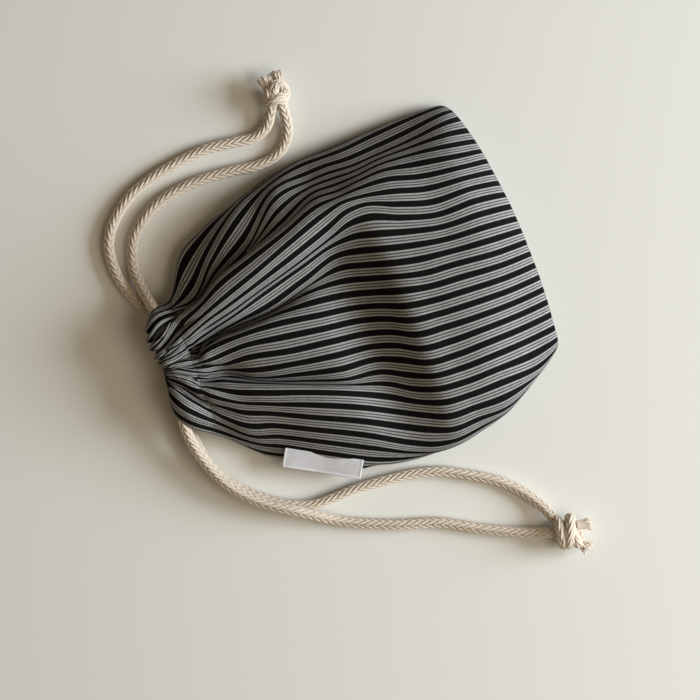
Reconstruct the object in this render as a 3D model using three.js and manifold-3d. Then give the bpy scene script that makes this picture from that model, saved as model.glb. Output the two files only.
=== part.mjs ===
// Drawstring pouch of striped cotton, lying on its back with its mouth drawn shut.
// Millimetres, +X from the gathered mouth to the boxed bottom, +Y across, +Z up, table at z = 0.
import * as THREE from 'three';
import { mergeVertices } from 'three/addons/utils/BufferGeometryUtils.js';
import Module from 'manifold-3d';

// Driving sizes
const POUCH_LENGTH = 192;      // mouth edge to bottom edge, as it lies
const POUCH_WIDTH = 163;       // across the widest place
const POUCH_HEIGHT = 36;       // top of the highest fold
const CLOTH_WALL = 0.9;        // cloth with its turned seams
const EDGE_RADIUS = 8;         // how softly the back panel turns up to the side seams
const BOTTOM_RADIUS = 3;       // the same at the bottom edge
const SEAM_BELLY = 5;          // the back panel swells past the lower side seam

const CASING_THICKNESS = 25;   // gathered casing, front to back
const CASING_COVER = 5.15;     // casing surface to the middle of a cord in it
const CASING_LIP = 0.8;        // cloth between a cord's channel and the drawn mouth
const MOUTH_LOW = -20.5;       // ends of the drawn mouth, across
const MOUTH_HIGH = 17.5;
const PLEATS = 10;             // pleats over the front of the casing
const PLEAT_DEPTH = 1.5;
const BACK_PLEAT_DEPTH = 1.1;
const MOUTH_RUFFLE = 1.2;      // how far the mouth edge waves in and out
const STITCH_GROOVE = 0.8;     // the row of stitches that closes the casing
const PLEAT_FADE = 1.6;        // sections past the stitches over which the pleats die out
const GUIDE_CROWDING = 0.35;   // how much closer the guides stand at the casing's rounded ends
const THROAT_START = 0.6;      // share of the way to the next section where the hollow widens
const MOUTH_OVERRUN = 2;       // the hollow is cut this far beyond the mouth edge

const CORD_DIAMETER = 5.5;
const CORD_CLEARANCE = 0.3;    // cord to its channel, and cord to its knot
const CORD_SIDES = 10;
const KNOT_STRAND = 5.2;       // cord pulled tight in the knot
const KNOT_RADIUS = 4.4;       // middle of a knot's turns
const KNOT_CORE = 5;           // radius of the ball that fills the turns
const TAIL_LENGTH = 7;
const TAIL_FLARE = 3.6;        // radius of the frayed end
const TAIL_SPREAD = 24;        // degrees that each tail leans from the knot's middle line
const TAIL_APART = [1.5, 1.2]; // how far each tail stands from it, across and up
// The knot's three turns: degrees about X and then Z, and millimetres along X
const KNOT_TURNS = [
  { aboutX: 90, aboutZ: 70, along: -1.6 },
  { aboutX: 90, aboutZ: 105, along: 1.8 },
  { aboutX: 20, aboutZ: 0, along: 0 },
];

const LABEL_LENGTH = 39.5;
const LABEL_WIDTH = 10;
const LABEL_THICKNESS = 0.7;
const LABEL_START = 40;        // where it begins along the side seam
const LABEL_DROP = 12;         // degrees that it hangs below level
const LABEL_GAP = 0.4;

// The front panel is lofted through cross-sections from the mouth to the bottom.
// Each has 16 points, on every second stripe, from the lower side seam to the upper one.
// y and z are drawn on a pouch of this size and stretched to the driving sizes.
const DRAWN = { length: 192, width: 163, height: 36 };
const SECTIONS = [
  {
    x: 25,
    y: [-52, -43, -31, -20, -14, -9, -2, 3, 6, 10, 15, 21, 24, 28, 34, 46],
    z: [9, 17, 22, 24, 20, 21, 25, 21, 22, 25, 28, 27, 22, 21, 18, 8],
  },
  {
    x: 40,
    y: [-61, -50, -38, -27, -21, -13, -2, 3, 7, 12, 18, 28, 31, 34, 42, 55],
    z: [10, 18, 24, 27, 22, 24, 27, 22, 24, 29, 32, 30, 24, 23, 20, 8],
  },
  {
    x: 60,
    y: [-73, -60, -47, -35, -29, -19, -4, 4, 8, 16, 24, 35, 38, 43, 56, 62.5],
    z: [10, 18, 26, 28, 23, 27, 29, 24, 24, 30, 35, 33, 26, 24, 20, 8],
  },
  {
    x: 80,
    y: [-84, -71, -56, -43, -35, -22, -8, 5, 12, 22, 30, 41, 48, 57, 64, 69],
    z: [7, 16, 24.5, 27.5, 25, 27.5, 27.5, 24, 23, 29, 35, 33, 28, 23, 13.5, 6],
  },
  {
    x: 100,
    y: [-88.5, -82, -67, -52, -39, -25, -11, 3, 17, 28, 37, 47, 53, 60, 68, 71.5],
    z: [6, 11, 17, 21, 21.5, 21.5, 21, 20.8, 22.5, 29.5, 35.5, 32, 22.5, 16, 10.5, 5],
  },
  {
    x: 120,
    y: [-89, -86, -77, -63, -49, -34, -19, -4, 11, 26, 38, 47, 54, 62, 69, 72.5],
    z: [5, 12, 21.5, 30, 33, 34, 34, 33, 33.5, 35.5, 36, 32, 24, 16.5, 10, 5],
  },
  {
    x: 150,
    y: [-83, -82, -77, -64, -51, -37, -23, -9, 4, 17, 30, 43, 54, 62, 69, 72],
    z: [5, 11, 20, 28, 31, 32.5, 33, 33, 33, 33, 33.5, 31.5, 23, 16, 10, 5],
  },
  {
    x: 172,
    y: [-70, -70, -68, -60, -49, -37, -24, -11, 3, 16, 29, 40, 51, 60, 67, 71],
    z: [4, 9, 14, 18, 21, 24, 26.5, 28.5, 30, 31, 31, 29, 24.5, 17.5, 10, 5],
  },
];
// The last section runs along the bottom edge, which bows out in the middle.
const BOTTOM_EDGE = {
  x: [181, 182.5, 184, 185.5, 186.5, 187.5, 188, 188, 187.5, 187, 185.5, 184, 182, 180, 178, 175.5],
  y: [-61, -61, -59, -54, -46, -36, -24, -11, 2, 15, 27, 39, 50, 59, 66, 70],
  z: [3, 6, 9, 10.5, 12, 13.5, 15, 17, 18.5, 19.5, 19.5, 18.5, 15.5, 11, 6.5, 3],
};
// The casing's sections: place along the pouch, and its two ends across.
const CASING = [
  { x: -4, low: -25, high: 24 },
  { x: 5, low: -33, high: 29 },
  { x: 14, low: -39, high: 32 },
];
const GUIDES = 16;
const FRONT_COLUMNS = 44;
const EDGE_STEPS = 3;          // rows of facets where the back panel turns up
const BACK_STEPS = 10;
// How many rows of facets each stretch between two sections gets, from the mouth on
const ROWS = [3, 3, 2, 2, 2, 2, 2, 3, 3, 2, 3];

// Cord routes. In the casing they follow its size, outside it they are points chosen by hand.
const UPPER_CORD_X = 6.3;      // the upper cord's channel is the inner one
const LOWER_CORD_X = -0.2;
const UPPER_RING = { low: -27, high: 24 };
const LOWER_RING = { low: -22.5, high: 19.5 };
const RING_LEAD = 8;           // each ring begins this far in from the end where its strands leave
const RING_RUNS = 3;           // straight steps on either side of a ring's bend
const RING_BENDS = 4;
const UPPER_OUTER_ROUTE = [
  [4.4, 23, 5.6], [1.4, 29.2, 5.9], [-1.4, 35, 5], [-4.6, 43, 3.7], [-6.6, 53, 3.1], [-5.2, 66.3, 3],
  [0.4, 75.7, 3], [12.8, 85.3, 3], [25.4, 90, 3], [41.1, 92.9, 3], [57.8, 94, 3],
  [71.3, 92.3, 3], [82.9, 90.6, 3], [90, 93.2, 3.8], [95.8, 100.2, 6],
];
const UPPER_INNER_ROUTE = [
  [6, 21, 18.6], [5.2, 27, 16.2], [4.3, 32.5, 13], [2.9, 41, 8], [2.5, 52, 3.8], [7.2, 64.4, 3],
  [14.2, 71.3, 3], [24.1, 77.1, 3], [37.7, 80.3, 3], [52.3, 80.6, 3], [66, 79.2, 3],
  [79.6, 77, 3], [89.4, 78, 3], [96.3, 83, 3], [99.9, 90, 3.8], [100.5, 99.2, 6],
];
const LOWER_OUTER_ROUTE = [
  [-0.6, -17, 19], [-1.3, -23, 17.4], [-1.9, -30, 15.2], [-2.1, -38, 12.8], [0.1, -50, 11], [5.4, -63.2, 9.8],
  [12.6, -73.4, 9.2], [22.6, -82.6, 8.8], [32.5, -89.3, 8.4], [42, -96, 6], [50.5, -101.8, 3.6],
  [59.3, -106.8, 3], [78.6, -115.3, 3], [98.4, -122.3, 3], [116.8, -132.8, 3], [135.6, -142.4, 3.6],
  [148.4, -147, 6],
];
const LOWER_INNER_ROUTE = [
  [-0.5, -17, 5.3], [-0.8, -23, 5.8], [-0.9, -30, 6], [-0.4, -38, 5.4], [2, -50, 4.2], [7.6, -61.8, 3.3],
  [14.8, -71, 3], [24.4, -79.8, 3], [33.4, -86, 3], [42, -90.4, 3], [52, -91, 3],
  [66.3, -91, 3], [80.8, -92.4, 3], [95.1, -94.6, 3], [108.1, -98.6, 3], [120.3, -105.3, 3],
  [132.1, -113.1, 3], [141, -121.9, 3], [147.6, -132, 3.8], [152.2, -142.5, 6],
];
const UPPER_KNOT_AT = [100.1, 106.6, 7.6];
const LOWER_KNOT_AT = [155.5, -149.6, 7.6];
const UPPER_KNOT_TURN = 82;    // degrees from +X to the way that its tails point
const LOWER_KNOT_TURN = -20;

const wasm = await Module();
wasm.setup();

const rad = THREE.MathUtils.degToRad;
const lerp = THREE.MathUtils.lerp;
const clamp = THREE.MathUtils.clamp;

// Value at place t along evenly spaced values, on a Catmull-Rom curve through them
function through(values, t) {
  const i = clamp(Math.floor(t), 0, values.length - 2);
  const f = t - i;
  const b = values[i];
  const c = values[i + 1];
  const a = i > 0 ? values[i - 1] : 2 * b - c;
  const d = i + 2 < values.length ? values[i + 2] : 2 * c - b;
  return b + 0.5 * f * (c - a + f * (2 * a - 5 * b + 4 * c - d + f * (3 * (b - c) + d - a)));
}

// Height of the casing's round-ended section above its middle
function casingRise(y, low, high) {
  const radius = CASING_THICKNESS / 2;
  const past = Math.max(0, low + radius - y, y - (high - radius));
  return Math.sqrt(Math.max(0, radius * radius - past * past));
}

// A casing section as y and z on the guides, evenly spaced round its front half
function casingSection({ x, low, high }) {
  const y = [];
  const z = [];
  for (let i = 0; i < GUIDES; i += 1) {
    const side = -Math.cos((Math.PI * i) / (GUIDES - 1));
    const even = (2 * i) / (GUIDES - 1) - 1;
    const at = lerp(low, high, (1 + lerp(even, side, GUIDE_CROWDING)) / 2);
    y.push(at);
    z.push(CASING_THICKNESS / 2 + casingRise(at, low, high));
  }
  return { x: Array(GUIDES).fill(x), y, z, edge: CASING_THICKNESS / 2, belly: 0 };
}

function bodySection({ x, y, z }, edge, belly) {
  const along = POUCH_LENGTH / DRAWN.length;
  const across = POUCH_WIDTH / DRAWN.width;
  const up = POUCH_HEIGHT / DRAWN.height;
  const places = Array.isArray(x) ? x : Array(GUIDES).fill(x);
  return {
    x: places.map((v) => v * along),
    y: y.map((v) => v * across),
    z: z.map((v) => v * up),
    edge,
    belly,
  };
}

function allSections() {
  const bellyShares = [0.2, 1, 1, 0.2];
  return [
    ...CASING.map(casingSection),
    ...SECTIONS.map((s, i) => bodySection(s, EDGE_RADIUS, SEAM_BELLY * (bellyShares[i] ?? 0))),
    bodySection(BOTTOM_EDGE, BOTTOM_RADIUS, 0),
  ];
}

const sections = allSections();
const STITCH_ROW = CASING.length - 1;

// A point of the front panel: guide 0 to 15 across, row 0 at the mouth to the last section
function frontPoint(guide, row) {
  const at = (key) => through(sections.map((s) => through(s[key], guide)), row);
  const gathered = clamp((STITCH_ROW + PLEAT_FADE - row) / PLEAT_FADE, 0, 1);
  const share = guide / (GUIDES - 1);
  const wave = 0.5 - 0.5 * Math.cos(2 * Math.PI * PLEATS * share);
  const inside = Math.min(1, 6 * share, 6 * (1 - share));
  const groove = STITCH_GROOVE * Math.max(0, 1 - 3 * Math.abs(row - STITCH_ROW));
  const ruffle = MOUTH_RUFFLE * wave * Math.max(0, 1 - row);
  return [at('x') + ruffle, at('y'), at('z') - (PLEAT_DEPTH * wave * gathered + groove) * inside];
}

// The closed loop of points round the pouch at one row, front panel first
function loopAt(row) {
  const front = [];
  for (let i = 0; i <= FRONT_COLUMNS; i += 1) {
    front.push(frontPoint((i / FRONT_COLUMNS) * (GUIDES - 1), row));
  }
  const lower = front[0];
  const upper = front[FRONT_COLUMNS];
  const edge = through(sections.map((s) => s.edge), row);
  const belly = through(sections.map((s) => s.belly), row);
  const gathered = clamp(STITCH_ROW + 1 - row, 0, 1);
  const back = [];
  for (let i = 1; i <= EDGE_STEPS; i += 1) {
    const a = (Math.PI / 2) * (i / EDGE_STEPS);
    back.push([upper[0], upper[1] - edge * (1 - Math.cos(a)), upper[2] * (1 - Math.sin(a))]);
  }
  for (let i = 1; i < BACK_STEPS; i += 1) {
    const f = i / BACK_STEPS;
    const y = lerp(upper[1] - edge, lower[1] + edge, f);
    back.push([lerp(upper[0], lower[0], f), y, i % 2 ? BACK_PLEAT_DEPTH * gathered : 0]);
  }
  for (let i = EDGE_STEPS; i >= 1; i -= 1) {
    const a = (Math.PI / 2) * (i / EDGE_STEPS);
    const swell = belly * Math.sin(Math.PI * (i / (EDGE_STEPS + 1)));
    back.push([lower[0], lower[1] + edge * (1 - Math.cos(a)) - swell, lower[2] * (1 - Math.sin(a))]);
  }
  return [...front, ...back];
}

// The rows of facets, as places along the sections
function rowPlaces() {
  const places = [];
  ROWS.forEach((count, i) => {
    for (let k = 0; k < count; k += 1) places.push(i + k / count);
  });
  places.push(sections.length - 1);
  return places;
}

// A closed solid skinned over a stack of loops, with a fan over each end
function skin(loops) {
  const n = loops[0].length;
  const points = loops.flat();
  const centre = (loop) => {
    const box = new THREE.Box3().setFromPoints(loop.map((p) => new THREE.Vector3(...p)));
    return box.getCenter(new THREE.Vector3()).toArray();
  };
  const faces = [];
  for (let r = 0; r + 1 < loops.length; r += 1) {
    for (let c = 0; c < n; c += 1) {
      const a = r * n + c;
      const b = r * n + ((c + 1) % n);
      faces.push([a, a + n, b], [b, a + n, b + n]);
    }
  }
  const first = points.push(centre(loops[0])) - 1;
  const last = points.push(centre(loops[loops.length - 1])) - 1;
  const base = (loops.length - 1) * n;
  for (let c = 0; c < n; c += 1) {
    faces.push([first, c, (c + 1) % n]);
    faces.push([last, base + ((c + 1) % n), base + c]);
  }
  return toSolid(points, faces);
}

function toSolid(points, faces) {
  const mesh = new wasm.Mesh({
    numProp: 3,
    vertProperties: new Float32Array(points.flat()),
    triVerts: new Uint32Array(faces.flat()),
  });
  const solid = new wasm.Manifold(mesh);
  if (solid.volume() < 0) {
    throw new Error('a skinned solid is inside out');
  }
  return solid;
}

function fromGeometry(geometry) {
  const bare = geometry.clone();
  bare.deleteAttribute('normal');
  bare.deleteAttribute('uv');
  const merged = mergeVertices(bare, 1e-4);
  return new wasm.Manifold(new wasm.Mesh({
    numProp: 3,
    vertProperties: new Float32Array(merged.attributes.position.array),
    triVerts: new Uint32Array(merged.index.array),
  }));
}

function toGeometry(solid) {
  const mesh = solid.getMesh();
  const geometry = new THREE.BufferGeometry();
  geometry.setAttribute('position', new THREE.BufferAttribute(mesh.vertProperties, 3));
  geometry.setIndex(new THREE.BufferAttribute(mesh.triVerts, 1));
  geometry.computeVertexNormals();
  return geometry;
}

// The hollow of the pouch: the outer loops drawn in by the cloth, and the flat drawn mouth
function hollowLoops(rows, loops) {
  const channel = CORD_DIAMETER / 2 + CORD_CLEARANCE;
  const half = CASING_THICKNESS / 2 - CASING_COVER - channel - CASING_LIP;
  const opening = sections[0].x[0] - MOUTH_OVERRUN;
  const inner = [];
  rows.forEach((row, r) => {
    const n = loops[r].length;
    if (row <= STITCH_ROW) {
      const low = Math.min(...loops[r].map((p) => p[1]));
      const high = Math.max(...loops[r].map((p) => p[1]));
      inner.push(loops[r].map(([x, y, z], c) => {
        const across = lerp(MOUTH_LOW, MOUTH_HIGH, (y - low) / (high - low));
        const past = Math.max(0, MOUTH_LOW + half - across, across - (MOUTH_HIGH - half));
        const rise = Math.sqrt(Math.max(0, half * half - past * past));
        const up = c > 0 && c < FRONT_COLUMNS ? 1 : -1;
        const seam = c === 0 || c === FRONT_COLUMNS ? 0 : 1;
        return [r === 0 ? opening : x, across, CASING_THICKNESS / 2 + up * seam * rise];
      }));
      return;
    }
    if (row < STITCH_ROW + THROAT_START) return;
    const isLast = r === rows.length - 1;
    inner.push(loops[r].map((p, c) => {
      const before = loops[r][(c + n - 1) % n];
      const after = loops[r][(c + 1) % n];
      const ty = after[1] - before[1];
      const tz = after[2] - before[2];
      const size = Math.hypot(ty, tz) || 1;
      const inward = [tz / size, -ty / size];
      const pull = isLast ? 2 * CLOTH_WALL : 0;
      return [p[0] - pull, p[1] + inward[0] * CLOTH_WALL, p[2] + inward[1] * CLOTH_WALL];
    }));
  });
  return inner;
}

// A cord's path whose steps fall on its points, so that they are closer together in its bends
class CordPath extends THREE.CatmullRomCurve3 {
  getUtoTmapping(u) {
    return u;
  }
}

function ringPoints(x, ring, turned) {
  const middle = CASING_THICKNESS / 2;
  const bend = middle - CASING_COVER;
  const far = turned ? ring.low : ring.high;
  const way = turned ? -1 : 1;
  const near = turned ? ring.high : ring.low;
  const start = near + way * RING_LEAD;
  const end = far - way * bend;
  const points = [];
  for (let i = 1; i <= RING_RUNS; i += 1) {
    points.push([x, lerp(start, end, i / RING_RUNS), middle + bend]);
  }
  for (let i = 1; i < RING_BENDS; i += 1) {
    const a = (Math.PI * i) / RING_BENDS;
    points.push([x, end + way * bend * Math.sin(a), middle + bend * Math.cos(a)]);
  }
  for (let i = RING_RUNS; i >= 1; i -= 1) {
    points.push([x, lerp(start, end, i / RING_RUNS), middle - bend]);
  }
  return points;
}

// From one knot along the first strand, round the casing and back along the second
function cordPoints(x, ring, turned, topRoute, lowRoute) {
  return [...topRoute.slice().reverse(), ...ringPoints(x, ring, turned), ...lowRoute];
}

function cordGeometry(points, radius) {
  const section = new THREE.Shape();
  for (let i = 0; i < CORD_SIDES; i += 1) {
    const a = (2 * Math.PI * i) / CORD_SIDES;
    section[i ? 'lineTo' : 'moveTo'](radius * Math.cos(a), radius * Math.sin(a));
  }
  const path = new CordPath(points.map((p) => new THREE.Vector3(...p)), false, 'centripetal');
  return new THREE.ExtrudeGeometry(section, { steps: points.length - 1, extrudePath: path });
}

// An overhand knot pulled tight: three turns of cord round each other and two frayed tails
function knotSolid(at, turn) {
  const strand = KNOT_STRAND / 2;
  const pieces = KNOT_TURNS.map(({ aboutX, aboutZ, along }) => {
    const torus = new THREE.TorusGeometry(KNOT_RADIUS, strand, 8, 16);
    torus.rotateX(rad(aboutX)).rotateZ(rad(aboutZ)).translate(along, 0, 0);
    return fromGeometry(torus);
  });
  const core = new THREE.SphereGeometry(KNOT_CORE, 12, 8);
  pieces.push(fromGeometry(core));
  [-1, 1].forEach((side) => {
    const tail = new THREE.CylinderGeometry(TAIL_FLARE, strand * 0.8, TAIL_LENGTH, 10, 1);
    tail.rotateZ(rad(-90)).translate(KNOT_RADIUS + TAIL_LENGTH / 2, 0, 0);
    tail.rotateZ(side * rad(TAIL_SPREAD)).translate(0, side * TAIL_APART[0], side * TAIL_APART[1]);
    pieces.push(fromGeometry(tail));
  });
  const whole = pieces.reduce((sum, piece) => sum.add(piece));
  return whole.rotate([0, 0, turn]).translate(at);
}

const materials = {
  cloth: { color: 0x1b1b1e, roughness: 0.9, metalness: 0 },
  cord: { color: 0xe6dccb, roughness: 0.85, metalness: 0 },
  label: { color: 0xdcdce2, roughness: 0.45, metalness: 0 },
};

function named(name, geometry, finish) {
  const mesh = new THREE.Mesh(geometry, new THREE.MeshStandardMaterial(materials[finish]));
  mesh.name = name;
  return mesh;
}

// The woven label, sewn into the lower side seam and lying out over the swell below it
function sideLabel(rows, loops) {
  const seam = loops.map((loop) => new THREE.Vector3(...loop[0]));
  const line = new THREE.CatmullRomCurve3(seam);
  const samples = line.getSpacedPoints(200);
  const start = samples.find((p) => p.x >= LABEL_START * (POUCH_LENGTH / DRAWN.length));
  const end = samples.find((p) => p.distanceTo(start) >= LABEL_LENGTH && p.x > start.x);
  const along = end.clone().sub(start).normalize();
  const out = new THREE.Vector3(along.y, -along.x, 0).normalize();
  const geometry = new THREE.BoxGeometry(LABEL_LENGTH, LABEL_WIDTH, LABEL_THICKNESS, 8, 2, 1);
  geometry.translate(LABEL_LENGTH / 2, -LABEL_WIDTH / 2 - LABEL_GAP, 0);
  geometry.rotateX(rad(LABEL_DROP));
  const up = new THREE.Vector3().crossVectors(along, out.clone().negate()).normalize();
  const seat = new THREE.Matrix4().makeBasis(along, out.clone().negate(), up);
  geometry.applyMatrix4(seat);
  const sag = Math.max(...samples.filter((p) => p.x > start.x && p.x < end.x)
    .map((p) => p.clone().sub(start).dot(up)));
  geometry.translate(start.x, start.y, start.z);
  geometry.translate(up.x * sag, up.y * sag, up.z * sag);
  return named('side_label', geometry, 'label');
}

const rows = rowPlaces();
const loops = rows.map(loopAt);
const upperPoints = cordPoints(UPPER_CORD_X, UPPER_RING, true, UPPER_INNER_ROUTE, UPPER_OUTER_ROUTE);
const lowerPoints = cordPoints(LOWER_CORD_X, LOWER_RING, false, LOWER_OUTER_ROUTE, LOWER_INNER_ROUTE);

function pouchCloth() {
  const hollow = skin(hollowLoops(rows, loops));
  const channels = [upperPoints, lowerPoints].map((points) => (
    fromGeometry(cordGeometry(points, CORD_DIAMETER / 2 + CORD_CLEARANCE))
  ));
  return channels.reduce((cloth, channel) => cloth.subtract(channel), skin(loops).subtract(hollow));
}

const pouch = new THREE.Group();
pouch.add(
  named('pouch_cloth', toGeometry(pouchCloth()), 'cloth'),
  sideLabel(rows, loops),
  named('drawcord_upper', cordGeometry(upperPoints, CORD_DIAMETER / 2), 'cord'),
  named('drawcord_lower', cordGeometry(lowerPoints, CORD_DIAMETER / 2), 'cord'),
  named('drawcord_upper_knot', toGeometry(knotSolid(UPPER_KNOT_AT, UPPER_KNOT_TURN)), 'cord'),
  named('drawcord_lower_knot', toGeometry(knotSolid(LOWER_KNOT_AT, LOWER_KNOT_TURN)), 'cord'),
);

// The origin stands under the middle of the cloth and its label
const box = new THREE.Box3();
pouch.children.slice(0, 2).forEach((mesh) => box.expandByObject(mesh));
const middle = box.getCenter(new THREE.Vector3());
pouch.position.set(-middle.x, -middle.y, -box.min.z);

export default pouch;
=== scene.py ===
"""Looks of the drawstring pouch: striped cloth, braided cords with frayed knots, and a bare woven label."""

import math

import bmesh
import bpy
import numpy as np
from bpy.props import FloatProperty, FloatVectorProperty, IntProperty, PointerProperty
from mathutils import Matrix, Vector


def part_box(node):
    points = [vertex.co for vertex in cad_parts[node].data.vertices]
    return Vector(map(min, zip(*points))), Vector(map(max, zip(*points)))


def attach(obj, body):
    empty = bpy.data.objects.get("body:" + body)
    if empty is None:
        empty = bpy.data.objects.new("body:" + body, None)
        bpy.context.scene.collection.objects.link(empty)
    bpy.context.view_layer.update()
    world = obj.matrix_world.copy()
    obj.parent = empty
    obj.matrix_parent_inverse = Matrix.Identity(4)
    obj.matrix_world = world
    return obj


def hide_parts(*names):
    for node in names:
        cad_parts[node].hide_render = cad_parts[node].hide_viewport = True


bl_info = {
    "name": "Striped drawstring pouch",
    "version": (1, 0, 0),
    "blender": (4, 5, 0),
    "location": "3D View > Sidebar > Pouch",
    "description": "Builds a drawstring pouch of striped cotton with braided cords",
    "category": "Object",
}

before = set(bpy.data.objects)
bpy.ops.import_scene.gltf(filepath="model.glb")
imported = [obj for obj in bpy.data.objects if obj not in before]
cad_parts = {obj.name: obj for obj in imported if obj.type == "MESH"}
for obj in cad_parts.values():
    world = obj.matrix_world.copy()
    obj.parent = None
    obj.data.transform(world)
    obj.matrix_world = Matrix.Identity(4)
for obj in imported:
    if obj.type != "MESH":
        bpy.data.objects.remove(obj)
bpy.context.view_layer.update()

MM = 0.001
BODY = "root"

# The shapes below are drawn in millimetres, +X from the mouth to the bottom, +Y across, +Z up.
# The pouch's mouth edge is drawn at x = -4 and its upper side edge at y = 72.5.
MOUTH_EDGE_X = -4.0
UPPER_EDGE_Y = 72.5
CLOTH_LOW, CLOTH_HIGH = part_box("pouch_cloth")
SHIFT = np.array([CLOTH_LOW[0] / MM - MOUTH_EDGE_X, CLOTH_HIGH[1] / MM - UPPER_EDGE_Y, 0.0])

STRIPE_PITCH = 6.8             # woven repeat on the flat cloth

# The front panel is lofted through listed cross-sections, from the turned hem to the bottom seam.
# Every section has a point on each of these stripes, counted from the lower side seam to the upper one.
STRIPES = [-2, 0, 2, 3, 4, 5, 6, 7, 8.5, 10, 11, 12, 13, 14, 15.5, 17, 18.5, 20, 21, 22, 24, 26, 28]

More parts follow.
